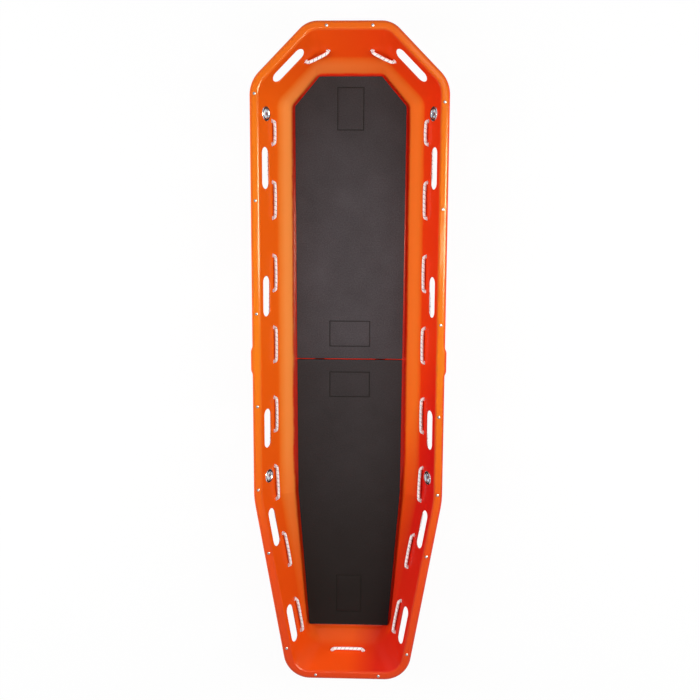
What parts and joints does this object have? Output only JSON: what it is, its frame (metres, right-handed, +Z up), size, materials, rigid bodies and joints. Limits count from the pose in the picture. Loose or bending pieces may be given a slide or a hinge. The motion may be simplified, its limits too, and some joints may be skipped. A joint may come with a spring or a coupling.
{
  "type": "basket stretcher",
  "caption": "Long moulded rescue stretcher with a rolled rim over a tube frame, hand slots, a laced grab line, lifting eyelets, floor runners and a lift-out foam mat.",
  "frame": {"origin": "on the ground under the middle of the bounding box, level with the runners' soles", "axes": "+Y along the stretcher to its broad head end, +X to the right side as seen in the picture, +Z up"},
  "size_m": [0.642, 2.184, 0.1901],
  "materials": {
    "shell": "satin",
    "frame": "satin",
    "screws": "satin",
    "eyelets": "polished",
    "grab_line": "matte",
    "joining_sleeve": "satin",
    "mat": "matte",
    "hook_tape": "matte",
    "loop_tape": "matte"
  },
  "bodies": {
    "basket": {"eyelet_bush_foot_left": "eyelets", "eyelet_bush_foot_right": "eyelets", "eyelet_bush_head_left": "eyelets", "eyelet_bush_head_right": "eyelets", "eyelet_collar_foot_left": "eyelets", "eyelet_collar_foot_right": "eyelets", "eyelet_collar_head_left": "eyelets", "eyelet_collar_head_right": "eyelets", "foot_frame_tube": "frame", "frame_sleeve_left": "frame", "frame_sleeve_right": "frame", "grab_line": "grab_line", "head_frame_tube": "frame", "hook_patch_foot_end": "hook_tape", "hook_patch_foot_middle": "hook_tape", "hook_patch_head_end": "hook_tape", "hook_patch_head_middle": "hook_tape", "rim_screw_foot_left": "screws", "rim_screw_foot_right": "screws", "rim_screw_head_left": "screws", "rim_screw_head_right": "screws", "rim_screw_left_1": "screws", "rim_screw_left_2": "screws", "rim_screw_left_3": "screws", "rim_screw_left_4": "screws", "rim_screw_left_5": "screws", "rim_screw_left_6": "screws", "rim_screw_left_7": "screws", "rim_screw_right_1": "screws", "rim_screw_right_2": "screws", "rim_screw_right_3": "screws", "rim_screw_right_4": "screws", "rim_screw_right_5": "screws", "rim_screw_right_6": "screws", "rim_screw_right_7": "screws", "rope_joining_sleeve": "joining_sleeve", "shell": "shell", "sleeve_screw_foot_left": "screws", "sleeve_screw_foot_right": "screws", "sleeve_screw_head_left": "screws", "sleeve_screw_head_right": "screws"},
    "head_mat_half": {"head_mat": "mat", "loop_patch_head_end": "loop_tape", "loop_patch_head_middle": "loop_tape"},
    "foot_mat_half": {"foot_mat": "mat", "loop_patch_foot_end": "loop_tape", "loop_patch_foot_middle": "loop_tape"}
  },
  "joints": [
    {"name": "head_mat_lift", "type": "slide", "parent": "basket", "child": "head_mat_half", "axis": [0, 0, 1], "range_m": [0, 0.2]},
    {"name": "foot_mat_lift", "type": "slide", "parent": "basket", "child": "foot_mat_half", "axis": [0, 0, 1], "range_m": [0, 0.2]}
  ]
}
